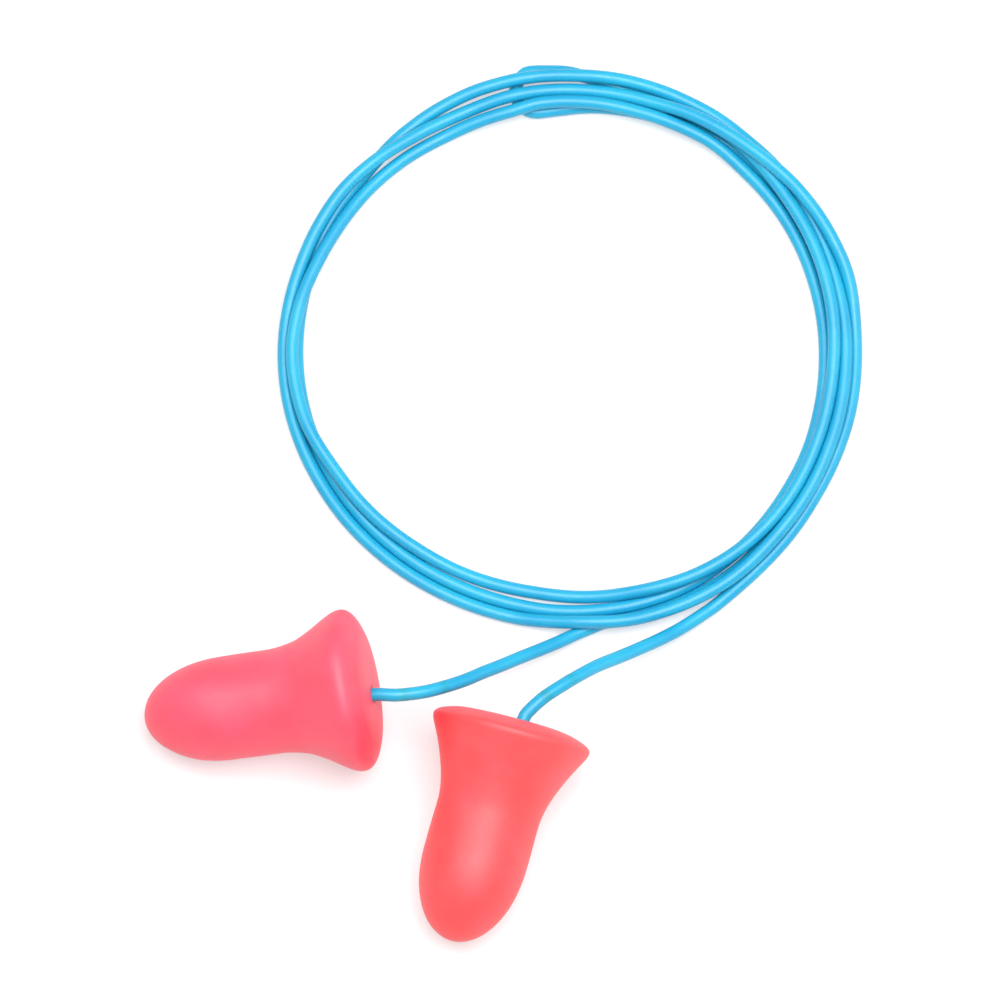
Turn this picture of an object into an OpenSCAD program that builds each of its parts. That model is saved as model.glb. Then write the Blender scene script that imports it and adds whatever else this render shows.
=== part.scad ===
// Corded foam ear plugs: two bell-shaped plugs of soft foam joined by one
// smooth round cord that is wound in a loose coil, lying on a table.
// Millimetres, +Z up, z = 0 is the table. The origin is below the middle of
// the two plugs, +X runs to the right and +Y from the plugs to the coil.

/* [Foam plug] */
// Length of a plug from the middle of its base to its tip
plug_length = 24.9; // [22:0.1:28]
// Diameter of the straight part of the body
body_diameter = 11.2; // [10:0.1:13]
// Diameter of the flared rim
rim_diameter = 17.4; // [15:0.1:20]
// Length of the rounded nose
nose_length = 9; // [6:0.1:10]
// Length of the flare between the body and the rim
flare_length = 9; // [6:0.1:10]
// Hollowness of the flare, where 1 would be a straight cone
flare_power = 1.5; // [1.1:0.05:2]
// Height of the domed base behind the rim
base_dome = 1.65; // [0.5:0.05:2.5]

/* [Cord] */
// Diameter of the cord
cord_diameter = 1.4; // [1:0.05:1.6]
// Depth of the hole in a plug's base that the cord is glued into
hole_depth = 8; // [5:0.5:12]
// Depth that the cord's end reaches in the hole
cord_insertion = 7.5; // [4:0.5:11]
// Thickness of the glue between the cord and the foam
glue_thickness = 0.3; // [0.2:0.05:0.5]
// Distance of the hole from the middle of the base
hole_offset = 0.8; // [0:0.1:2]

/* [Coil] */
// Outer diameter of the coil
coil_diameter = 62.6; // [60:0.1:66]
// Width of the band of turns, from inside to outside
coil_band = 5.8; // [5:0.1:8]
// Height of the turns that lie on each other
coil_height = 3; // [2.8:0.1:5]
// Radius of the band's rounded edges
coil_edge = 1.2; // [0.5:0.1:1.3]
// Distance of the coil's middle to the right of the origin
coil_x = 21.6; // [20:0.1:24]
// Distance of the coil's middle behind the origin
coil_y = 48.4; // [47:0.1:51]

/* [Layout] */
// Direction of the left plug from base to tip, counted from +X
left_azimuth = 186.3; // [180:0.1:195]
// Direction of the right plug from base to tip, counted from +X
right_azimuth = 254.6; // [250:0.1:260]
// Step along X from the middle of the left base to the middle of the right one
base_step_x = 15.3; // [14:0.1:18]
// Step along Y from the middle of the left base to the middle of the right one
base_step_y = -3.3; // [-5:0.1:-2]

/* [Hidden] */

foam_colour = [1, 0.4, 0.43];
glue_colour = [0.95, 0.93, 0.86];
cord_colour = [0.2, 0.73, 0.95];

body_r = body_diameter / 2;
rim_r = rim_diameter / 2;
cord_r = cord_diameter / 2;
coil_r = coil_diameter / 2;
glue_recess = 0.1;
arc_steps = 18;
round_fn = 96;
cord_sides = 8;

// Outline of a plug as [radius, distance from the middle of the base]:
// the domed base, the flare and the nose.
plug_outline = concat(
    [for (i = [0 : arc_steps])
        let (a = 90 * i / arc_steps) [rim_r * sin(a), base_dome * (1 - cos(a))]],
    [for (i = [1 : arc_steps])
        let (part_way = i / arc_steps)
        [body_r + (rim_r - body_r) * pow(1 - part_way, flare_power), base_dome + flare_length * part_way]],
    [for (i = [0 : arc_steps])
        let (a = 90 * i / arc_steps)
        [body_r * cos(a), plug_length - nose_length * (1 - sin(a))]]
);

// A plug lies on its rim and on the side of its nose, so its axis tips down.
rest_tilt = atan(min([for (p = plug_outline)
    if (p[1] > base_dome + 1) (rim_r - p[0]) / (p[1] - base_dome)]));

// Direction from base to tip, and how far a plug reaches along a direction
// from the middle of its base.
function axis_of(azimuth) =
    [cos(azimuth) * cos(rest_tilt), sin(azimuth) * cos(rest_tilt), -sin(rest_tilt)];
function reach(azimuth, direction) =
    let (along = axis_of(azimuth) * direction)
    max([for (p = plug_outline) p[1] * along + p[0] * sqrt(1 - along * along)]);

// The middles of the bases, set so that the two plugs are centred on the origin.
base_z = reach(left_azimuth, [0, 0, -1]);
x_low = min(-reach(left_azimuth, [-1, 0, 0]), base_step_x - reach(right_azimuth, [-1, 0, 0]));
x_high = max(reach(left_azimuth, [1, 0, 0]), base_step_x + reach(right_azimuth, [1, 0, 0]));
y_low = min(-reach(left_azimuth, [0, -1, 0]), base_step_y - reach(right_azimuth, [0, -1, 0]));
y_high = max(reach(left_azimuth, [0, 1, 0]), base_step_y + reach(right_azimuth, [0, 1, 0]));
left_base = [-(x_low + x_high) / 2, -(y_low + y_high) / 2, base_z];
right_base = left_base + [base_step_x, base_step_y, 0];

// The middle of the hole's mouth, which is beside the middle of the base.
function exit_of(base, azimuth) = base + hole_offset * [-sin(azimuth), cos(azimuth), 0];

// The cord's centre line outside the coil. Each bend begins at the mouth of
// its plug's hole, and each tail runs on from there down to the table.
left_bend_route = [[1.6, 8.5, 9], [2.9, 8.4, 9.1], [4.2, 8.5, 9], [6.3, 8.9, 8.6], [8.3, 9.6, 7.9]];
left_tail_route = [
    [8.3, 9.6, 7.9], [10.3, 10.5, 6.9], [12.4, 11.7, 5.7], [14.4, 12.8, 4.5], [16.4, 13.9, 3.5],
    [18.5, 15, 2.5], [20.5, 16.1, 1.6], [22.6, 17.3, 1], [25.1, 18.6, 0.7], [27.8, 19.6, 0.7]
];
right_bend_route = [
    [17.1, 6.5, 9], [17.7, 7.2, 9.1], [18.4, 7.8, 9.1], [19.1, 8.4, 9], [20.5, 9.4, 8.7], [21.9, 10.4, 8.2]
];
right_tail_route = [
    [21.9, 10.4, 8.2], [24.3, 12.1, 6.7], [26.6, 13.45, 5.1], [28.7, 14.7, 3.7], [30.9, 16, 2.5],
    [33.4, 17.6, 1.4], [36.2, 19.6, 0.8], [38.9, 22.1, 0.7], [41.7, 24.9, 0.7], [44.6, 28.1, 0.7]
];

function unit(v) = v / norm(v);

// A closed tube round a route, with one ring of corners at each of its points.
module cord_tube(route, first_direction) {
    last = len(route) - 1;
    directions = [for (i = [0 : last])
        i == 0 ? unit(first_direction)
        : i == last ? unit(route[last] - route[last - 1])
        : unit(route[i + 1] - route[i - 1])];
    corners = [for (i = [0 : last])
        let (d = directions[i], side = unit(cross(d, [0, 0, 1])), up = cross(side, d))
        for (k = [0 : cord_sides - 1])
            let (a = 360 * k / cord_sides) route[i] + cord_r * (side * cos(a) + up * sin(a))];
    walls = [for (i = [0 : last - 1], k = [0 : cord_sides - 1])
        let (near = i * cord_sides, far = near + cord_sides, next = (k + 1) % cord_sides)
        each [[near + k, far + k, far + next], [near + k, far + next, near + next]]];
    caps = [
        [for (k = [0 : cord_sides - 1]) k],
        [for (k = [0 : cord_sides - 1]) last * cord_sides + cord_sides - 1 - k]
    ];
    polyhedron(corners, concat(caps, walls));
}

// Puts a shape drawn along +Z from the middle of a plug's base in its place.
module at_plug(base, azimuth) {
    translate(base) rotate([0, 90 + rest_tilt, azimuth]) children();
}

// The same, for a shape drawn along +Z from the mouth of the hole.
module at_hole(base, azimuth) {
    at_plug(base, azimuth) translate([0, hole_offset, 0]) children();
}

module foam_plug(base, azimuth) {
    color(foam_colour) difference() {
        at_plug(base, azimuth) rotate_extrude($fn = round_fn) polygon(plug_outline);
        at_hole(base, azimuth) translate([0, 0, -1])
            cylinder(h = hole_depth + 1, r = cord_r + glue_thickness, $fn = round_fn);
    }
}

module glue(base, azimuth) {
    color(glue_colour) at_hole(base, azimuth) difference() {
        translate([0, 0, glue_recess])
            cylinder(h = hole_depth - glue_recess, r = cord_r + glue_thickness, $fn = round_fn);
        translate([0, 0, -1]) cylinder(h = cord_insertion + 1, r = cord_r, $fn = round_fn);
    }
}

module cord_end(base, azimuth) {
    color(cord_colour) at_hole(base, azimuth) cylinder(h = cord_insertion, r = cord_r, $fn = round_fn);
}

module cord_bend(base, azimuth, route) {
    color(cord_colour) cord_tube(concat([exit_of(base, azimuth)], route), -axis_of(azimuth));
}

module cord_tail(bend_route, route) {
    before = bend_route[len(bend_route) - 2];
    color(cord_colour) cord_tube(route, route[0] - before);
}

module left_foam_plug() { foam_plug(left_base, left_azimuth); }
module left_glue() { glue(left_base, left_azimuth); }
module left_cord_end() { cord_end(left_base, left_azimuth); }
module left_cord_bend() { cord_bend(left_base, left_azimuth, left_bend_route); }
module left_cord_tail() { cord_tail(left_bend_route, left_tail_route); }

module right_foam_plug() { foam_plug(right_base, right_azimuth); }
module right_glue() { glue(right_base, right_azimuth); }
module right_cord_end() { cord_end(right_base, right_azimuth); }
module right_cord_bend() { cord_bend(right_base, right_azimuth, right_bend_route); }
module right_cord_tail() { cord_tail(right_bend_route, right_tail_route); }

// The outer shape of the wound cord: a flat ring with rounded edges.
module cord_coil() {
    middle = coil_r - coil_band / 2;
    side = coil_band / 2 - coil_edge;
    top = coil_height - coil_edge;
    outline = concat(
        [for (i = [0 : arc_steps])
            let (a = 90 * i / arc_steps) [middle + side + coil_edge * cos(a), top + coil_edge * sin(a)]],
        [for (i = [0 : arc_steps])
            let (a = 90 + 90 * i / arc_steps) [middle - side + coil_edge * cos(a), top + coil_edge * sin(a)]],
        [for (i = [0 : arc_steps])
            let (a = 180 + 90 * i / arc_steps)
            [middle - side + coil_edge * cos(a), coil_edge + coil_edge * sin(a)]],
        [for (i = [0 : arc_steps])
            let (a = 270 + 90 * i / arc_steps)
            [middle + side + coil_edge * cos(a), coil_edge + coil_edge * sin(a)]]
    );
    color(cord_colour) translate([coil_x, coil_y, 0]) rotate_extrude($fn = round_fn) polygon(outline);
}

left_foam_plug();
left_glue();
left_cord_end();
left_cord_bend();
left_cord_tail();
right_foam_plug();
right_glue();
right_cord_end();
right_cord_bend();
right_cord_tail();
cord_coil();
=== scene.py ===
"""Corded foam ear plugs: two bell-shaped plugs of soft foam on one smooth blue
cord, which is wound in a loose coil on a white table. Lengths in the comments
are in millimetres, and everything given to Blender is in metres."""

import math

import bpy
import numpy as np
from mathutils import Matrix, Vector, noise


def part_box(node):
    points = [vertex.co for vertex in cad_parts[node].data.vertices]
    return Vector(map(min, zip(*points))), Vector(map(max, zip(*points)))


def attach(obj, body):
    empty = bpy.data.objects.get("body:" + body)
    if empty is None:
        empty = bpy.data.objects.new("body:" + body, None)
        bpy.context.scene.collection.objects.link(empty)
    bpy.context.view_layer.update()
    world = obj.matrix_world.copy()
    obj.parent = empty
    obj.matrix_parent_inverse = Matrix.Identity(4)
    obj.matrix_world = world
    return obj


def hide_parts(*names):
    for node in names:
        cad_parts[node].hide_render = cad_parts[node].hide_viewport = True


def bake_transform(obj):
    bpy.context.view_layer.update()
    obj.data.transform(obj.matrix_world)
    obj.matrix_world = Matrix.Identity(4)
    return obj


MM = 0.001

# The camera: how far above the horizon it looks from, how far away it is, the
# width of the field that it sees and the point on the table in its middle.
VIEW_ELEVATION = 75.5
VIEW_DISTANCE = 1600
VIEW_WIDTH = 106.4
VIEW_MIDDLE = (14.17, 32.0, 0)
SENSOR_WIDTH = 36

# The plugs. The hole's place and the tilt are as in part.scad. The foam is 0.45
# shorter and a little slimmer than the solid there, to follow the photograph.
PLUG_LENGTH = 24.45
BODY_RADIUS = 5.53
RIM_RADIUS = 8.6
NOSE_LENGTH = 9
FLARE_LENGTH = 9
FLARE_POWER = 1.68
# How far the rim is in front of the middle of the CAD's base, how far the base
# swells out from the rim and how flat its middle is.
RIM_DISTANCE = 1.4
DOME = {"left": 1.6, "right": 1.3}
DOME_POWER = 4.2
# How much the rim rolls out into a lip. The rim is drawn larger and sharp, and
# its outline beyond a radius is smoothed a number of times.
LIP = {"left": 0.6, "right": 0.0}
RIM_EXTRA = {"left": 0.55, "right": 0.35}
RIM_SOFTENING = {"left": 50, "right": 18}
SOFT_FROM_RADIUS = 6.2
OUTLINE_SPACING = 0.25
OUTLINE_STEPS = 40
DOME_STEPS = 30
# The nose's curve ends this many degrees round, just short of the tip.
NOSE_END = 87
# How far the tip bows to the plug's own right.
BOW = {"left": 0.3, "right": 0.45}
REST_TILT = 11.221
AZIMUTH = {"left": 186.3, "right": 254.6}
PLUG_SIDES = 72
# Height, scale and seed of the foam's slight unevenness, which is left out
# within a radius round the hole.
DENT = 0.08
DENT_SCALE = 0.22
DENT_FROM_RADIUS = 2
PLUG_SEED = {"left": 3, "right": 8}

# The hole in the base, as in part.scad, with a lip that closes round the cord:
# its (depth, radius) from the wall outward.
HOLE_OFFSET = 0.8
HOLE_RADIUS = 1.0
HOLE_DEPTH = 8
HOLE_END_RADIUS = 0.35
HOLE_STEPS = 8
HOLE_LIP_DEPTH = 1.2
HOLE_LIP = [(0.7, 0.82), (0.35, 0.76), (0.12, 0.86)]
HOLE_EDGE_RADIUS = 1.2
# The base's rings are round the hole there and round the plug from this radius.
BASE_ROUND_FROM = 6
BASE_SHIFT_WIDTH = 4.5
CORD_INSERTION = 7.5
# The glue fills the hole up to its lip and climbs the cord: (depth, radius).
GLUE_RADIUS = 1.02
GLUE_RECESS = 0.1
GLUE_SIDES = 32
GLUE_CLIMB = [(0.25, 0.71), (0.32, 0.74), (0.45, 0.79), (0.7, 0.83)]

# The cord's radius, as in part.scad, and the middle of its coil, 0.1 behind the one there.
CORD_RADIUS = 0.7
COIL_MIDDLE = (21.6, 48.5)
# A slim lining closes the seam where two stretches of the cord meet: its share
# of the radius and how far it reaches past the seam each way.
LINING_SHARE = 0.96
LINING_REACH = 0.5

# The cord's centre line outside the coil, as in part.scad: from the mouth of
# each plug's hole, over the place that its link bends at, down to the table.
LEFT_BEND = [(1.6, 8.5, 9), (2.9, 8.4, 9.1), (4.2, 8.5, 9), (6.3, 8.9, 8.6), (8.3, 9.6, 7.9)]
LEFT_TAIL = [
    (8.3, 9.6, 7.9), (10.3, 10.5, 6.9), (12.4, 11.7, 5.7), (14.4, 12.8, 4.5),
    (16.4, 13.9, 3.5), (18.5, 15, 2.5), (20.5, 16.1, 1.6), (22.6, 17.3, 1),
]
RIGHT_BEND = [
    (17.1, 6.5, 9), (17.7, 7.2, 9.1), (18.4, 7.8, 9.1), (19.1, 8.4, 9), (20.5, 9.4, 8.7),
    (21.9, 10.4, 8.2),
]
RIGHT_TAIL = [
    (21.9, 10.4, 8.2), (24.3, 12.1, 6.7), (26.6, 13.45, 5.1), (28.7, 14.7, 3.7),
    (30.9, 16, 2.5), (33.4, 17.6, 1.4),
]

# The coil, as a list of (degrees round its middle, radius, height) for the
# centre line. It doesn't come from a rule: the keys were read off the photograph
# and then corrected in several rounds against measurements of the coil's inner
# and outer edge there. Heights and hidden strands are guessed. TABLE is a strand
# on the table and OVER one that lies on others.
TABLE = 0.7
OVER = 1.9
# From the left tail the cord runs under the other turns to the fold.
LEFT_TURN = [
    (277, 30.2, TABLE), (290, 30.3, TABLE), (304, 30.15, TABLE), (316, 29.75, TABLE),
    (326, 29.4, TABLE), (340, 29.1, TABLE), (360, 28.75, TABLE), (385, 28.65, TABLE),
    (405, 28.5, TABLE), (415, 28.2, TABLE), (425, 27.65, TABLE), (435, 27.25, TABLE),
    (445, 26.9, TABLE), (451.5, 26.55, TABLE),
]
# Where the cord turns back: degrees, radius of its middle, radius of the bend.
FOLD = (457, 28.7, 2.3)
# From the right tail it winds inward in three and a half turns to that fold.
RIGHT_TURNS = [
    (297, 32.35, 0.8), (305, 31.6, TABLE), (317, 30.95, TABLE), (330, 30.6, TABLE),
    (345, 30.6, TABLE), (360, 30.4, 0.9), (368, 30.25, 1.4), (376, 30.0, 2.2),
    (385, 29.95, 3.0), (395, 29.6, 3.1), (405, 28.95, 3.1), (414, 28.6, 3.1),
    (422, 28.5, 2.8), (432, 28.35, 2.1), (450, 28.4, OVER), (462, 28.35, OVER),
    (473, 28.3, 1.7), (485, 28.55, 2.0), (495, 29.1, 2.1), (507, 29.7, 1.4),
    (518, 29.75, TABLE), (530, 30.0, TABLE), (540, 30.2, TABLE), (555, 30.4, TABLE),
    (575, 30.2, TABLE), (590, 29.95, TABLE), (600, 29.9, TABLE), (618, 30.0, TABLE),
    (626, 30.2, 1.4), (633, 30.45, 2.1), (645, 30.85, 2.1), (660, 30.8, OVER),
    (680, 30.05, OVER), (700, 29.4, OVER), (720, 29.25, OVER), (745, 29.3, OVER),
    (757, 29.35, 1.7), (768, 29.55, 1.0), (780, 29.95, TABLE), (788, 29.9, 0.8),
    (797, 29.85, 1.4), (806, 29.85, OVER), (818, 30.0, OVER), (828, 30.0, OVER),
    (838, 29.9, 1.3), (846, 29.7, TABLE), (860, 29.1, TABLE), (885, 29.15, TABLE),
    (900, 29.3, TABLE), (920, 29.1, TABLE), (940, 28.95, TABLE), (970, 28.85, TABLE),
    (985, 28.95, TABLE), (1012, 29.0, TABLE), (1024, 28.7, TABLE), (1036, 28.35, TABLE),
    (1046, 28.05, TABLE), (1056, 27.8, TABLE), (1066, 27.5, TABLE), (1080, 27.3, TABLE),
    (1105, 27.25, TABLE), (1125, 27.45, 0.8), (1135, 27.35, 1.5), (1145, 27.0, OVER),
    (1155, 26.9, OVER), (1165, 27.0, OVER), (1176, 27.05, OVER), (1184, 26.7, 1.8),
    (1192, 26.8, 1.4), (1200, 27.0, 0.8), (1210, 27.4, TABLE), (1225, 27.95, 0.8),
    (1240, 28.5, 1.3), (1252, 29.2, 1.8), (1262, 29.6, OVER), (1275, 29.4, OVER),
    (1290, 28.5, 1.4), (1302, 28.2, 0.8), (1320, 27.45, TABLE), (1340, 27.1, TABLE),
    (1352, 27.4, TABLE), (1360, 27.75, 1.0), (1370, 28.2, 1.8), (1380, 28.6, 2.0),
    (1392, 28.8, OVER), (1404, 28.85, OVER), (1418, 28.7, OVER), (1440, 28.4, OVER),
    (1470, 28.4, OVER), (1486, 28.7, OVER), (1497, 28.75, 1.8), (1506, 28.7, 1.2),
    (1514, 28.95, TABLE), (1522, 29.7, TABLE), (1531, 30.7, TABLE),
]
# Only the cord nearer than this to the middle of the coil moves as it settles.
COIL_REACH = 32.5
# Settling the coil: the spacing of its points, the steps taken, how fast the
# cord sinks and for what share of the steps, how strongly it keeps to its turns
# and what is left of that when it no longer sinks, and how far stiffness
# spreads a push along it.
POINT_SPACING = 1.0
SETTLE_STEPS = 400
SINK = 0.006
SINKING_SHARE = 0.7
KEEP_TO_TURN = 0.1
KEEP_AT_END = 0.1
STIFFNESS = 0.6
# Strands nearer than this may touch. Pairs are looked up again after a number
# of steps, and points this near along the cord are no pair.
NEAR = 4 * CORD_RADIUS
LOOK_EVERY = 10
SAME_STRETCH = 4


# ---------------------------------------------------------------- geometry

def metres(points):
    return [tuple(c * MM for c in p) for p in points]


def through(points, steps):
    """A smooth line through the points, with that many steps between two."""
    p = np.array(points, float)
    p = np.vstack([2 * p[0] - p[1], p, 2 * p[-1] - p[-2]])
    t = (np.arange(steps) / steps)[:, None]
    line = []
    for a, b, c, d in zip(p, p[1:], p[2:], p[3:]):
        line.append(
            b + 0.5 * t * (c - a + t * (2 * a - 5 * b + 4 * c - d + t * (3 * (b - c) + d - a)))
        )
    return np.vstack(line + [p[-2:-1]])


def evenly(points, spacing):
    """The same line with its points the same distance apart."""
    steps = np.linalg.norm(np.diff(points, axis=0), axis=1)
    along = np.concatenate([[0], np.cumsum(steps)])
    wanted = np.linspace(0, along[-1], int(round(along[-1] / spacing)) + 1)
    return np.stack([np.interp(wanted, along, points[:, k]) for k in range(3)], axis=1)


def steady(x, y, wanted):
    """Values between the keys (x, y), smooth and never beyond the two beside them."""
    width = np.diff(x)
    slope = np.diff(y) / width
    tangent = np.zeros(len(x))
    before, after = slope[:-1], slope[1:]
    a = 2 * width[1:] + width[:-1]
    b = width[1:] + 2 * width[:-1]
    same = before * after > 0
    tangent[1:-1][same] = (a + b)[same] / (a[same] / before[same] + b[same] / after[same])
    tangent[0] = slope[0]
    tangent[-1] = slope[-1]
    i = np.clip(np.searchsorted(x, wanted, side="right") - 1, 0, len(x) - 2)
    t = (wanted - x[i]) / width[i]
    return (
        (2 * t**3 - 3 * t**2 + 1) * y[i] + (t**3 - 2 * t**2 + t) * width[i] * tangent[i]
        + (3 * t**2 - 2 * t**3) * y[i + 1] + (t**3 - t**2) * width[i] * tangent[i + 1]
    )


def turns(keys):
    """Points every two degrees along the keys of a turn."""
    angle, radius, height = np.array(keys, float).T
    wanted = np.linspace(angle[0], angle[-1], int(round((angle[-1] - angle[0]) / 2)) + 1)
    r = steady(angle, radius, wanted)
    a = np.radians(wanted)
    x = COIL_MIDDLE[0] + r * np.cos(a)
    y = COIL_MIDDLE[1] + r * np.sin(a)
    return np.stack([x, y, steady(angle, height, wanted)], axis=1)


def fold():
    """The half circle in which the cord turns back on itself."""
    angle, radius, bend = FOLD
    a = math.radians(angle)
    outward = np.array([math.cos(a), math.sin(a), 0])
    onward = np.array([-math.sin(a), math.cos(a), 0])
    middle = np.array([*COIL_MIDDLE, TABLE]) + radius * outward
    b = np.radians(np.linspace(-80, 80, 9))[:, None]
    return middle + bend * (outward * np.sin(b) + onward * np.cos(b))


def neighbours(line):
    """Pairs of a point and a segment of another stretch that are near it."""
    apart = ((line[:, None, :] - line[None, :, :]) ** 2).sum(2)
    index = np.arange(len(line))
    elsewhere = abs(index[:, None] - index[None, :]) > SAME_STRETCH
    near = (apart < NEAR ** 2) & elsewhere
    point, segment = np.nonzero(near)
    inside = segment < len(line) - 1
    return point[inside], segment[inside]


def push_apart(line, point, segment):
    """How far each point moves so that strands that overlap only touch."""
    a, b = line[segment], line[segment + 1]
    t = np.clip(((line[point] - a) * (b - a)).sum(1) / ((b - a) ** 2).sum(1), 0, 1)
    away = line[point] - a - (b - a) * t[:, None]
    distance = np.linalg.norm(away, axis=1)
    hit = distance < 2 * CORD_RADIUS
    found = (point, segment, t, away, distance)
    point, segment, t, away, distance = (values[hit] for values in found)
    push = away * ((CORD_RADIUS / np.maximum(distance, 1e-6)) - 0.5)[:, None]
    move = np.zeros_like(line)
    share = np.zeros(len(line))
    ends = ((point, 1, np.ones(len(t))), (segment, -1, 1 - t), (segment + 1, -1, t))
    for index, sign, weight in ends:
        np.add.at(move, index, sign * push * weight[:, None])
        np.add.at(share, index, weight)
    return move / np.maximum(share, 1)[:, None]


def settle(route):
    """The route as the cord lies: on the table and on itself, never in itself."""
    line = route.copy()
    free = np.hypot(*(route[:, :2] - COIL_MIDDLE).T) < COIL_REACH
    for step in range(SETTLE_STEPS):
        if step % LOOK_EVERY == 0:
            point, segment = neighbours(line)
        line[free] += push_apart(line, point, segment)[free]
        sinking = step < SINKING_SHARE * SETTLE_STEPS
        line[free, 2] -= SINK if sinking else 0
        keep = KEEP_TO_TURN * (1 if sinking else KEEP_AT_END)
        line[free, :2] += keep * (route - line)[free, :2]
        moved = line - route
        spread = moved.copy()
        spread[1:-1] = (moved[:-2] + 2 * moved[1:-1] + moved[2:]) / 4
        line[free] = route[free] + ((1 - STIFFNESS) * moved + STIFFNESS * spread)[free]
        line[:, 2] = np.maximum(line[:, 2], CORD_RADIUS)
    return line


# ------------------------------------------------------------------ pieces

def axis_of(side):
    """Direction of a plug from its base to its tip."""
    azimuth = math.radians(AZIMUTH[side])
    tilt = math.radians(REST_TILT)
    level = math.cos(tilt)
    return Vector((math.cos(azimuth) * level, math.sin(azimuth) * level, -math.sin(tilt)))


def right_of(side):
    """Level direction to the right of a plug, seen from its base."""
    azimuth = math.radians(AZIMUTH[side])
    return Vector((math.sin(azimuth), -math.cos(azimuth), 0))


def mouth_of(side):
    """The middle of the hole's mouth, found from the cord's end in the CAD."""
    low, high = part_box(side + "_cord_end")
    middle = (Vector(low) + Vector(high)) / 2 / MM
    return middle - axis_of(side) * CORD_INSERTION / 2


def shown(name, vertices, faces, material, body):
    """A smooth mesh, given in millimetres, that rides on a body."""
    mesh = bpy.data.meshes.new(name)
    mesh.from_pydata(metres(vertices), [], faces)
    mesh.validate()
    mesh.polygons.foreach_set("use_smooth", [True] * len(mesh.polygons))
    mesh.materials.append(material)
    piece = bpy.data.objects.new(name, mesh)
    bpy.context.scene.collection.objects.link(piece)
    if body:
        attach(piece, body)
    return piece


def skin(rings, closed_start, closed_end):
    """Faces that join rings of points, with a fan over each closed end."""
    count = len(rings[0])
    vertices = [p for ring in rings for p in ring]
    faces = []
    for near in range(0, len(vertices) - count, count):
        far = near + count
        for k in range(count):
            beside = (k + 1) % count
            faces.append((near + k, near + beside, far + beside, far + k))
    for closed, ring, turn in ((closed_start, rings[0], -1), (closed_end, rings[-1], 1)):
        if closed is not None:
            first = len(vertices)
            vertices += [*ring, closed]
            for k in range(count):
                corners = (first + k, first + (k + 1) % count, first + count)
                faces.append(corners[::turn])
    return vertices, faces


def circle(middle, direction, radius, sides):
    """Points round a line that runs in that direction."""
    ahead = Vector(direction)
    across = ahead.cross(Vector((0, 0, 1))).normalized()
    up = across.cross(ahead)
    turn = [2 * math.pi * k / sides for k in range(sides)]
    return [Vector(middle) + radius * (across * math.cos(a) + up * math.sin(a)) for a in turn]


def tube(name, route, material, capped, radius=CORD_RADIUS, sides=24):
    """A round tube along a line, whose far end may be closed."""
    route = np.array(route, float)
    ahead = np.gradient(route, axis=0)
    ahead /= np.linalg.norm(ahead, axis=1)[:, None]
    wall = [circle(point, direction, radius, sides) for point, direction in zip(route, ahead)]
    vertices, faces = skin(wall, None, Vector(route[-1]) if capped else None)
    for end, direction in ((0, -ahead[0]), (-1, ahead[-1])):
        if end == 0 or not capped:
            lining = [
                circle(route[end] + reach * direction, ahead[end], LINING_SHARE * radius, sides)
                for reach in (-LINING_REACH, LINING_REACH)
            ]
            more, joined = skin(lining, None, None)
            faces += [tuple(corner + len(vertices) for corner in face) for face in joined]
            vertices += more
    return shown(name, vertices, faces, material, None)


def softened(outline, times):
    """The outline with its points evenly spaced and its rim rounded over."""
    line = evenly(np.array([(u, r, 0) for u, r in outline], float), OUTLINE_SPACING)
    soft = line[:, 1] > SOFT_FROM_RADIUS
    for _ in range(times):
        spread = line.copy()
        spread[1:-1] = (line[:-2] + 2 * line[1:-1] + line[2:]) / 4
        line[soft] = spread[soft]
    return [(u, r) for u, r, _ in line]


def plug_profile(side):
    """(distance from the CAD's middle of the base, radius) from the lip of the
    hole, out over the domed base, round the rim and along to the tip."""
    out = RIM_DISTANCE - DOME[side]
    rim = RIM_RADIUS + RIM_EXTRA[side]
    dome = [
        (out + DOME[side] * (radius / rim) ** DOME_POWER, radius)
        for radius in np.linspace(HOLE_EDGE_RADIUS, rim, DOME_STEPS)
    ]
    flare = []
    for part in np.linspace(0, 1, OUTLINE_STEPS)[1:]:
        radius = BODY_RADIUS + (rim - BODY_RADIUS) * (1 - part) ** FLARE_POWER
        radius += LIP[side] * math.sin(2 * math.pi * part) * (1 - part) ** 2
        flare.append((RIM_DISTANCE + FLARE_LENGTH * part, radius))
    nose = [
        (PLUG_LENGTH - NOSE_LENGTH * (1 - math.sin(a)), BODY_RADIUS * math.cos(a))
        for a in np.radians(np.linspace(0, NOSE_END, OUTLINE_STEPS))
    ]
    return softened(dome + flare + nose, RIM_SOFTENING[side])


def hole_profile(side):
    """The hole from its bottom to its lip, which the foam closes round the cord."""
    out = RIM_DISTANCE - DOME[side]
    distances = np.linspace(HOLE_DEPTH, out + HOLE_LIP_DEPTH, HOLE_STEPS)
    wall = [(distance, HOLE_RADIUS) for distance in distances]
    lip = [(out + depth, radius) for depth, radius in HOLE_LIP]
    return [(HOLE_DEPTH, HOLE_END_RADIUS)] + wall + lip


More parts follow.
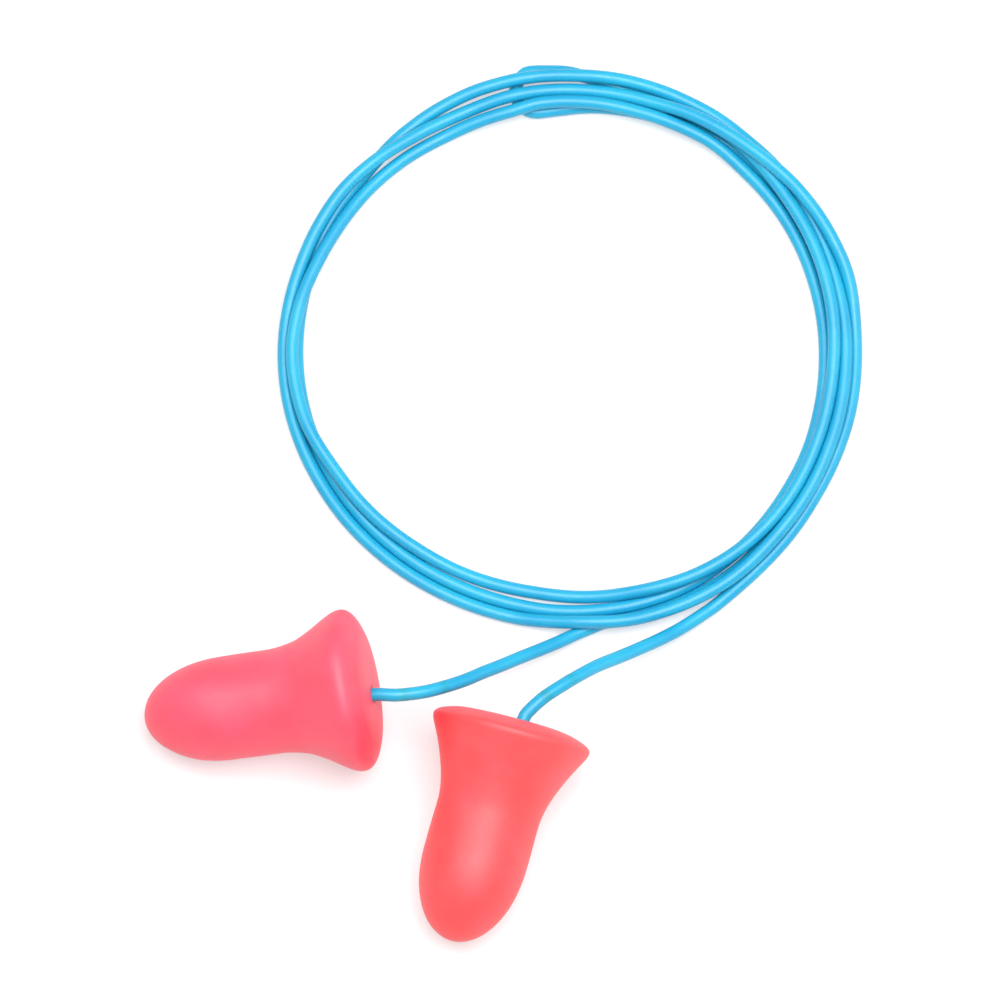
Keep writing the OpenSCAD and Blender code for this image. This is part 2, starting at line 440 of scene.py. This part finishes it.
def foam_plug(side, material):
    """A bell of foam round a gently bowed middle, with the cord's hole in its base."""
    along, right = axis_of(side), right_of(side)
    up = right.cross(along)
    base = mouth_of(side) + right * HOLE_OFFSET
    rings = []
    hole = hole_profile(side)
    for i, (distance, radius) in enumerate(hole + plug_profile(side)):
        in_base = i < len(hole) or distance < RIM_DISTANCE
        shift = min(1, max(0, (BASE_ROUND_FROM - radius) / BASE_SHIFT_WIDTH))
        beside = HOLE_OFFSET * shift if in_base else 0
        bow = 0 if in_base else BOW[side] * distance / PLUG_LENGTH
        middle = base + along * distance + right * (bow - beside)
        ring = []
        for k in range(PLUG_SIDES):
            a = 2 * math.pi * k / PLUG_SIDES
            out = right * math.cos(a) + up * math.sin(a)
            point = middle + out * radius
            if radius > DENT_FROM_RADIUS:
                place = point * DENT_SCALE + Vector((0, 0, PLUG_SEED[side]))
                point += out * DENT * noise.noise(place)
            ring.append(point)
        rings.append(ring)
    tip = base + along * PLUG_LENGTH + right * BOW[side]
    bottom = base + along * HOLE_DEPTH - right * HOLE_OFFSET
    vertices, faces = skin(rings, bottom, tip)
    piece = shown(side + "_foam", vertices, faces, material, side + "_plug")
    smooth = piece.modifiers.new("smooth", "SUBSURF")
    smooth.levels = smooth.render_levels = 1
    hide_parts(side + "_foam_plug")
    return piece


def glue_bead(side, material):
    """The glue between the cord and the hole, which climbs the cord a little."""
    along, right = axis_of(side), right_of(side)
    up = right.cross(along)
    out = RIM_DISTANCE - DOME[side]
    inner = HOLE_DEPTH - GLUE_RECESS
    outline = [(out + depth, radius) for depth, radius in GLUE_CLIMB]
    outline += [
        (out + HOLE_LIP_DEPTH, GLUE_RADIUS), (inner, GLUE_RADIUS), (inner, CORD_RADIUS - 0.1),
    ]
    turn = [2 * math.pi * k / GLUE_SIDES for k in range(GLUE_SIDES)]
    rings = []
    for distance, radius in outline:
        middle = mouth_of(side) + along * distance
        rings.append([middle + radius * (right * math.cos(a) + up * math.sin(a)) for a in turn])
    vertices, faces = skin(rings, None, None)
    piece = shown(side + "_glue_bead", vertices, faces, material, side + "_plug")
    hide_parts(side + "_glue")
    return piece


def whole_cord():
    """The settled centre line from inside the left plug to inside the right one."""
    ends = {}
    for side in AZIMUTH:
        mouth, along = mouth_of(side), axis_of(side)
        ends[side] = [tuple(mouth + along * d) for d in (CORD_INSERTION, CORD_INSERTION / 2, 0)]
    points = ends["left"] + LEFT_BEND + LEFT_TAIL[1:]
    points += turns(LEFT_TURN).tolist() + fold().tolist() + turns(RIGHT_TURNS)[::-1].tolist()
    points += (ends["right"] + RIGHT_BEND + RIGHT_TAIL[1:])[::-1]
    return through(settle(evenly(through(points, 6), POINT_SPACING)), 2)


def cord(material):
    """The cord: one long stretch that lies still, and two short ones at each plug."""
    line = whole_cord()
    # Each bend's end at the tail, and the place between its swing and its lift.
    links = {"left": [LEFT_BEND[-1], LEFT_BEND[2]], "right": [RIGHT_BEND[-1], RIGHT_BEND[3]]}
    cuts = {
        side: [int(np.linalg.norm(line - np.array(p), axis=1).argmin()) for p in points]
        for side, points in links.items()
    }
    for side in AZIMUTH:
        outer, inner = cuts[side]
        link = side + "_link"
        end = 0 if side == "left" else len(line) - 1
        stretches = (
            ("_cord_at_link", outer, inner, "cord", link),
            ("_cord_at_plug", inner, end, link, side + "_plug"),
        )
        for name, a, b, near_body, far_body in stretches:
            stretch = line[a:b + 1] if a < b else line[b:a + 1][::-1]
            piece = tube(side + name, stretch, material, far_body != link)
            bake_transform(piece)
        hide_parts(side + "_cord_bend")
        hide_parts(side + "_cord_end")

    lying = line[cuts["left"][0]:cuts["right"][0] + 1]
    data = bpy.data.curves.new("cord", "CURVE")
    data.dimensions = "3D"
    spline = data.splines.new("POLY")
    spline.points.add(len(lying) - 1)
    for point, place in zip(spline.points, lying):
        point.co = (*(place * MM), 1)
    data.bevel_depth = CORD_RADIUS * MM
    data.bevel_resolution = 6
    data.materials.append(material)
    piece = bpy.data.objects.new("cord", data)
    bpy.context.scene.collection.objects.link(piece)
    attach(piece, "cord")
    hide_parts("cord_coil", "left_cord_tail", "right_cord_tail")


# --------------------------------------------------------------- materials

def start_material(name):
    material = bpy.data.materials.new(name)
    material.use_nodes = True
    tree = material.node_tree
    return material, tree, tree.nodes["Principled BSDF"]


def texture(tree, kind, scale, **settings):
    """A texture in the piece's own space, with its scale per metre."""
    node = tree.nodes.new(kind)
    place = tree.nodes.new("ShaderNodeTexCoord")
    tree.links.new(place.outputs["Object"], node.inputs["Vector"])
    node.inputs["Scale"].default_value = scale
    for name, value in settings.items():
        node.inputs[name].default_value = value
    return node


def ramp(tree, source, *stops):
    """A colour, or a grey, for each value of the source."""
    node = tree.nodes.new("ShaderNodeValToRGB")
    tree.links.new(source, node.inputs["Fac"])
    elements = node.color_ramp.elements
    while len(elements) < len(stops):
        elements.new(0.5)
    for element, (position, colour) in zip(elements, stops):
        element.position = position
        if not isinstance(colour, tuple):
            colour = (colour, colour, colour)
        element.color = (*colour, 1)
    return node.outputs["Color"]


def bump(tree, height, strength, distance, after=None):
    node = tree.nodes.new("ShaderNodeBump")
    node.inputs["Strength"].default_value = strength
    node.inputs["Distance"].default_value = distance
    tree.links.new(height, node.inputs["Height"])
    if after:
        tree.links.new(after, node.inputs["Normal"])
    return node.outputs["Normal"]


def foam_material(name, deep, mid, pale):
    """Dyed polyurethane foam with a smooth moulded skin: soft cloudy colour,
    a satin surface and fine closed pores."""
    material, tree, shader = start_material(name)
    clouds = texture(tree, "ShaderNodeTexNoise", 160, Detail=3, Roughness=0.55)
    colour = ramp(tree, clouds.outputs["Fac"], (0.3, deep), (0.5, mid), (0.7, pale))
    tree.links.new(colour, shader.inputs["Base Color"])
    grain = texture(tree, "ShaderNodeTexNoise", 5200, Detail=2, Roughness=0.6)
    pores = texture(tree, "ShaderNodeTexVoronoi", 2600, Randomness=1)
    pits = ramp(tree, pores.outputs["Distance"], (0.08, 0.0), (0.3, 1.0))
    normal = bump(tree, grain.outputs["Fac"], 0.2, 0.00005)
    tree.links.new(bump(tree, pits, 0.15, 0.00006, normal), shader.inputs["Normal"])
    rough = ramp(tree, grain.outputs["Fac"], (0.3, 0.46), (0.7, 0.54))
    tree.links.new(rough, shader.inputs["Roughness"])
    shader.inputs["Specular IOR Level"].default_value = 0.6
    shader.inputs["Subsurface Weight"].default_value = 0.1
    shader.inputs["Subsurface Radius"].default_value = (1.0, 0.35, 0.3)
    shader.inputs["Subsurface Scale"].default_value = 0.001
    return material


def cord_material():
    """Soft blue PVC, extruded smooth and glossy."""
    material, tree, shader = start_material("cord")
    drift = texture(tree, "ShaderNodeTexNoise", 140, Detail=2, Roughness=0.5)
    deep = (0.010, 0.33, 0.55)
    pale = (0.015, 0.388, 0.592)
    colour = ramp(tree, drift.outputs["Fac"], (0.35, deep), (0.65, pale))
    tree.links.new(colour, shader.inputs["Base Color"])
    skin_marks = texture(tree, "ShaderNodeTexNoise", 1600, Detail=2, Roughness=0.5)
    tree.links.new(bump(tree, skin_marks.outputs["Fac"], 0.03, 0.00003), shader.inputs["Normal"])
    rough = ramp(tree, skin_marks.outputs["Fac"], (0.3, 0.34), (0.7, 0.42))
    tree.links.new(rough, shader.inputs["Roughness"])
    shader.inputs["Subsurface Weight"].default_value = 0.3
    shader.inputs["Subsurface Radius"].default_value = (0.1, 0.45, 1.0)
    shader.inputs["Subsurface Scale"].default_value = 0.0008
    return material


def glue_material():
    """Set adhesive, cream and slightly glossy."""
    material, tree, shader = start_material("glue")
    lumps = texture(tree, "ShaderNodeTexNoise", 1500, Detail=2, Roughness=0.5)
    deep = (0.80, 0.62, 0.52)
    pale = (0.88, 0.74, 0.64)
    colour = ramp(tree, lumps.outputs["Fac"], (0.35, deep), (0.65, pale))
    tree.links.new(colour, shader.inputs["Base Color"])
    tree.links.new(bump(tree, lumps.outputs["Fac"], 0.3, 0.00008), shader.inputs["Normal"])
    shader.inputs["Roughness"].default_value = 0.35
    return material


# ------------------------------------------------------------------- scene

def floor():
    material, tree, shader = start_material("floor")
    grain = texture(tree, "ShaderNodeTexNoise", 30, Detail=2, Roughness=0.5)
    colour = ramp(tree, grain.outputs["Fac"], (0.3, 0.5), (0.7, 0.52))
    tree.links.new(colour, shader.inputs["Base Color"])
    shader.inputs["Roughness"].default_value = 0.9
    shader.inputs["Emission Color"].default_value = (1, 1, 1, 1)
    shader.inputs["Emission Strength"].default_value = 0.42
    shader.inputs["Specular IOR Level"].default_value = 0.1
    half = 2000
    corners = [(-half, -half, 0), (half, -half, 0), (half, half, 0), (-half, half, 0)]
    shown("floor", corners, [(0, 1, 2, 3)], material, None)


def area_light(name, place, size, power):
    """A square soft box that shines at the middle of the view."""
    data = bpy.data.lights.new(name, "AREA")
    data.shape = "SQUARE"
    data.size = size * MM
    data.energy = power
    lamp = bpy.data.objects.new(name, data)
    lamp.location = Vector(place) * MM
    aim = Vector(VIEW_MIDDLE) - Vector(place)
    lamp.rotation_euler = aim.to_track_quat("-Z", "Y").to_euler()
    bpy.context.scene.collection.objects.link(lamp)


def light():
    world = bpy.data.worlds.new("studio")
    world.use_nodes = True
    background = world.node_tree.nodes["Background"]
    background.inputs["Color"].default_value = (1, 1, 1, 1)
    background.inputs["Strength"].default_value = 0.4
    bpy.context.scene.world = world
    area_light("soft_box", (115, 5, 690), 500, 6.2)
    area_light("side_box", (620, 60, 250), 300, 0.5)
    area_light("left_box", (-300, 180, 640), 260, 1.2)


def camera():
    data = bpy.data.cameras.new("camera")
    data.sensor_width = SENSOR_WIDTH
    data.lens = SENSOR_WIDTH * VIEW_DISTANCE / VIEW_WIDTH
    data.clip_start = 0.1
    data.clip_end = 10
    eye = bpy.data.objects.new("camera", data)
    elevation = math.radians(VIEW_ELEVATION)
    back = Vector((0, -math.cos(elevation), math.sin(elevation)))
    eye.location = (Vector(VIEW_MIDDLE) + VIEW_DISTANCE * back) * MM
    eye.rotation_euler = (-back).to_track_quat("-Z", "Y").to_euler()
    bpy.context.scene.collection.objects.link(eye)
    bpy.context.scene.camera = eye


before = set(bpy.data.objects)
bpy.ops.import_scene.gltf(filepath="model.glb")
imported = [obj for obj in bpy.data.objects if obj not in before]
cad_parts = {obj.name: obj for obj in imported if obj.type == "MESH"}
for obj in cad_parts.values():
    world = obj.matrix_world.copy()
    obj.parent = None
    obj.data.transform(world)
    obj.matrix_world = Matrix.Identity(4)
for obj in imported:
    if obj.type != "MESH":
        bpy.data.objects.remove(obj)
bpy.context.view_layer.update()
camera()
light()
floor()
cord(cord_material())
# Both plugs are the same foam. As painted light, the left one is tinted pinker and the right one
# redder, standing in for how the light falls on each; the clouds within each tint are the foam's
# own uneven colour.
foam = {
    "left": foam_material(
        "foam_pink_painted_light", (0.94, 0.066, 0.11), (0.95, 0.076, 0.127), (0.96, 0.086, 0.147)
    ),
    "right": foam_material(
        "foam_coral_painted_light", (0.94, 0.06, 0.064), (0.95, 0.071, 0.079), (0.96, 0.085, 0.1)
    ),
}
glue = glue_material()
for side in AZIMUTH:
    foam_plug(side, foam[side])
    glue_bead(side, glue)
bpy.context.scene.view_settings.view_transform = "Standard"
